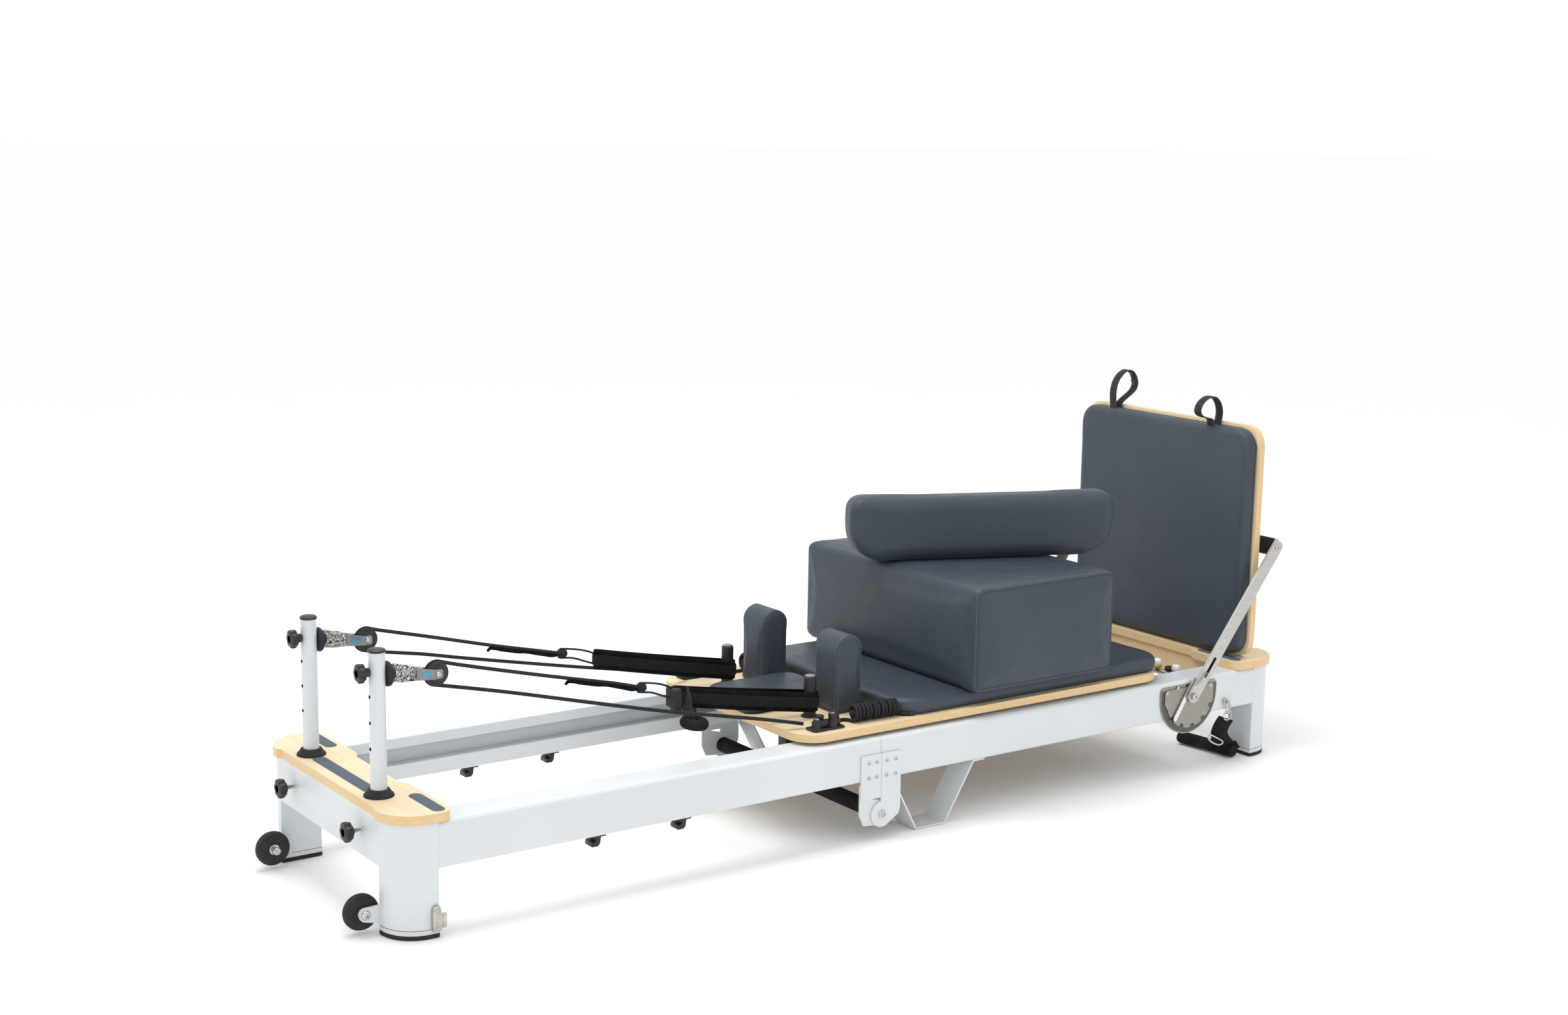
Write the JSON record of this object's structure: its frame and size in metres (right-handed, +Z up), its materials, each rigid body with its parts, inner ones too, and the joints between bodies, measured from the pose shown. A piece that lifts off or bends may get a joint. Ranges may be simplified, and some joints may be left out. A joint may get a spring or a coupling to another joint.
{
  "type": "pilates reformer",
  "caption": "Folding exercise reformer with a sprung sliding carriage, pulley risers, ropes and straps, foot bar, jump board, sitting box and bolster.",
  "frame": {"origin": "on the floor at the middle of the whole machine's bounding box", "axes": "+X from the head end (pulley risers) to the foot end (foot bar), +Y to the side of the right rail, +Z up"},
  "size_m": [2.581, 0.703, 0.9553],
  "materials": {
    "white_paint": "satin white powder coat",
    "birch": "clear satin lacquer",
    "leatherette": "matt slate grey leatherette",
    "black_plastic": "matt",
    "black_rubber": "matt",
    "black_foam": "matt closed-cell foam",
    "black_webbing": "woven",
    "black_rope": "braided",
    "stainless": "brushed"
  },
  "bodies": {
    "foot_half": {"foot_rail_left": "white_paint", "foot_rail_right": "white_paint", "foot_end_frame": "white_paint", "foot_platform": "birch", "fold_leaf_foot_left": "white_paint", "fold_leaf_foot_right": "white_paint", "middle_foot_left": "white_paint", "middle_foot_right": "white_paint", "lifting_bar": "black_foam", "spring_bar": "stainless", "foot_bar_quadrant_left": "stainless", "foot_bar_quadrant_right": "stainless"},
    "head_half": {"head_rail_left": "white_paint", "head_rail_right": "white_paint", "head_end_frame": "white_paint", "head_platform": "birch", "fold_leaf_head_left": "white_paint", "fold_leaf_head_right": "white_paint", "rope_left": "black_rope", "rope_right": "black_rope"},
    "carriage": {"carriage_board": "birch", "deck_pad": "leatherette", "carriage_underframe": "black_plastic", "strap_peg_left": "black_plastic", "strap_peg_right": "black_plastic", "strap_loop_left": "black_webbing", "strap_loop_right": "black_webbing", "spring_1": "stainless", "spring_2": "stainless", "spring_3": "stainless", "spring_4": "stainless"},
    "headrest_pad": {"headrest": "leatherette"},
    "box": {"sitting_box": "leatherette"},
    "bolster": {"box_bolster": "leatherette"},
    "foot_bar": {"foot_bar_frame": "stainless", "foot_bar_grip": "black_foam"},
    "jump_board": {"jump_board_panel": "birch", "jump_board_pad": "leatherette"},
    "hanging_handle": {"spare_handle": "black_foam"},
    "latch": {"transport_latch": "stainless"},
    "shoulder_rest_left": {"shoulder_rest_left": "leatherette"},
    "riser_left": {"riser_left": "white_paint", "pulley_block_left": "stainless"},
    "riser_knob_left": {"riser_knob_left": "black_plastic"},
    "beam_knob_left": {"beam_knob_left": "black_plastic"},
    "sheave_left": {"pulley_sheave_left": "black_plastic"},
    "transport_wheel_left": {"transport_wheel_left": "black_rubber"},
    "foot_bar_latch_left": {"foot_bar_latch_left": "stainless"},
    "shoulder_rest_right": {"shoulder_rest_right": "leatherette"},
    "riser_right": {"riser_right": "white_paint", "pulley_block_right": "stainless"},
    "riser_knob_right": {"riser_knob_right": "black_plastic"},
    "beam_knob_right": {"beam_knob_right": "black_plastic"},
    "sheave_right": {"pulley_sheave_right": "black_plastic"},
    "transport_wheel_right": {"transport_wheel_right": "black_rubber"},
    "foot_bar_latch_right": {"foot_bar_latch_right": "stainless"},
    "carriage_wheel_head_left": {"carriage_wheel_head_left": "black_rubber"},
    "carriage_wheel_head_right": {"carriage_wheel_head_right": "black_rubber"},
    "carriage_wheel_foot_left": {"carriage_wheel_foot_left": "black_rubber"},
    "carriage_wheel_foot_right": {"carriage_wheel_foot_right": "black_rubber"}
  },
  "joints": [
    {"name": "fold", "type": "hinge", "parent": "foot_half", "child": "head_half", "pos_m": [-0.0215, 0, 0.06], "axis": [0, -1, 0], "range_deg": [0, 170]},
    {"name": "carriage_slide", "type": "slide", "parent": "foot_half", "child": "carriage", "axis": [1, 0, 0], "range_m": [-0.84, 0], "stiffness_N_per_m": 40, "springref_m": 0.25, "deforming": ["rope_left", "rope_right", "strap_loop_left", "strap_loop_right", "spring_1", "spring_2", "spring_3", "spring_4"]},
    {"name": "sitting_box_lift", "type": "slide", "parent": "carriage", "child": "box", "axis": [0, 0, 1], "range_m": [0, 0.3]},
    {"name": "bolster_lift", "type": "slide", "parent": "box", "child": "bolster", "axis": [0, 0, 1], "range_m": [0, 0.3]},
    {"name": "headrest_tilt", "type": "hinge", "parent": "carriage", "child": "headrest_pad", "pos_m": [0.026, 0, 0.265], "axis": [0, 1, 0], "range_deg": [0, 30]},
    {"name": "foot_bar_hinge", "type": "hinge", "parent": "foot_half", "child": "foot_bar", "pos_m": [0.955, 0, 0.199], "axis": [0, 1, 0], "range_deg": [0, 52]},
    {"name": "jump_board_lift", "type": "slide", "parent": "foot_half", "child": "jump_board", "axis": [0, 0, 1], "range_m": [0, 0.3]},
    {"name": "handle_swing", "type": "hinge", "parent": "foot_half", "child": "hanging_handle", "pos_m": [1.094, -0.334, 0.154], "axis": [0, 1, 0], "range_deg": [-6, 25]},
    {"name": "latch_turn", "type": "hinge", "parent": "head_half", "child": "latch", "pos_m": [-1.131, -0.332, 0.058], "axis": [0, 1, 0], "range_deg": [0, 90]},
    {"name": "shoulder_rest_left_lift", "type": "slide", "parent": "carriage", "child": "shoulder_rest_left", "axis": [0, 0, 1], "range_m": [0, 0.15]},
    {"name": "riser_left_height", "type": "slide", "parent": "head_half", "child": "riser_left", "axis": [0, 0, 1], "range_m": [0, 0.05]},
    {"name": "riser_knob_left_turn", "type": "hinge", "parent": "riser_left", "child": "riser_knob_left", "pos_m": [-1.2165, -0.169, 0.517], "axis": [1, 0, 0], "continuous": true},
    {"name": "beam_knob_left_turn", "type": "hinge", "parent": "head_half", "child": "beam_knob_left", "pos_m": [-1.252, -0.169, 0.195], "axis": [1, 0, 0], "continuous": true},
    {"name": "sheave_left_spin", "type": "hinge", "parent": "riser_left", "child": "sheave_left", "pos_m": [-1.0535, -0.169, 0.4955], "axis": [0, 1, 0], "continuous": true},
    {"name": "transport_wheel_left_roll", "type": "hinge", "parent": "head_half", "child": "transport_wheel_left", "pos_m": [-1.253, -0.226, 0.045], "axis": [0, 1, 0], "continuous": true},
    {"name": "foot_bar_latch_left_lift", "type": "hinge", "parent": "foot_bar", "child": "foot_bar_latch_left", "pos_m": [0.962, -0.337, 0.24], "axis": [0, 1, 0], "range_deg": [0, 12]},
    {"name": "shoulder_rest_right_lift", "type": "slide", "parent": "carriage", "child": "shoulder_rest_right", "axis": [0, 0, 1], "range_m": [0, 0.15]},
    {"name": "riser_right_height", "type": "slide", "parent": "head_half", "child": "riser_right", "axis": [0, 0, 1], "range_m": [0, 0.05]},
    {"name": "riser_knob_right_turn", "type": "hinge", "parent": "riser_right", "child": "riser_knob_right", "pos_m": [-1.2165, 0.169, 0.517], "axis": [1, 0, 0], "continuous": true},
    {"name": "beam_knob_right_turn", "type": "hinge", "parent": "head_half", "child": "beam_knob_right", "pos_m": [-1.252, 0.169, 0.195], "axis": [1, 0, 0], "continuous": true},
    {"name": "sheave_right_spin", "type": "hinge", "parent": "riser_right", "child": "sheave_right", "pos_m": [-1.0535, 0.169, 0.4955], "axis": [0, 1, 0], "continuous": true},
    {"name": "transport_wheel_right_roll", "type": "hinge", "parent": "head_half", "child": "transport_wheel_right", "pos_m": [-1.253, 0.226, 0.045], "axis": [0, 1, 0], "continuous": true},
    {"name": "foot_bar_latch_right_lift", "type": "hinge", "parent": "foot_bar", "child": "foot_bar_latch_right", "pos_m": [0.962, 0.337, 0.24], "axis": [0, 1, 0], "range_deg": [0, 12]},
    {"name": "carriage_wheel_head_left_roll", "type": "hinge", "parent": "carriage", "child": "carriage_wheel_head_left", "pos_m": [0.055, -0.2645, 0.1943], "axis": [0, 1, 0], "continuous": true},
    {"name": "carriage_wheel_head_right_roll", "type": "hinge", "parent": "carriage", "child": "carriage_wheel_head_right", "pos_m": [0.055, 0.2645, 0.1943], "axis": [0, 1, 0], "continuous": true},
    {"name": "carriage_wheel_foot_left_roll", "type": "hinge", "parent": "carriage", "child": "carriage_wheel_foot_left", "pos_m": [0.82, -0.2645, 0.1943], "axis": [0, 1, 0], "continuous": true},
    {"name": "carriage_wheel_foot_right_roll", "type": "hinge", "parent": "carriage", "child": "carriage_wheel_foot_right", "pos_m": [0.82, 0.2645, 0.1943], "axis": [0, 1, 0], "continuous": true}
  ],
  "couplings": [
    {"joint": "carriage_wheel_head_left_roll", "follows": "carriage_slide", "rad_per_m": 52.632},
    {"joint": "carriage_wheel_head_right_roll", "follows": "carriage_slide", "rad_per_m": 52.632},
    {"joint": "carriage_wheel_foot_left_roll", "follows": "carriage_slide", "rad_per_m": 52.632},
    {"joint": "carriage_wheel_foot_right_roll", "follows": "carriage_slide", "rad_per_m": 52.632}
  ]
}
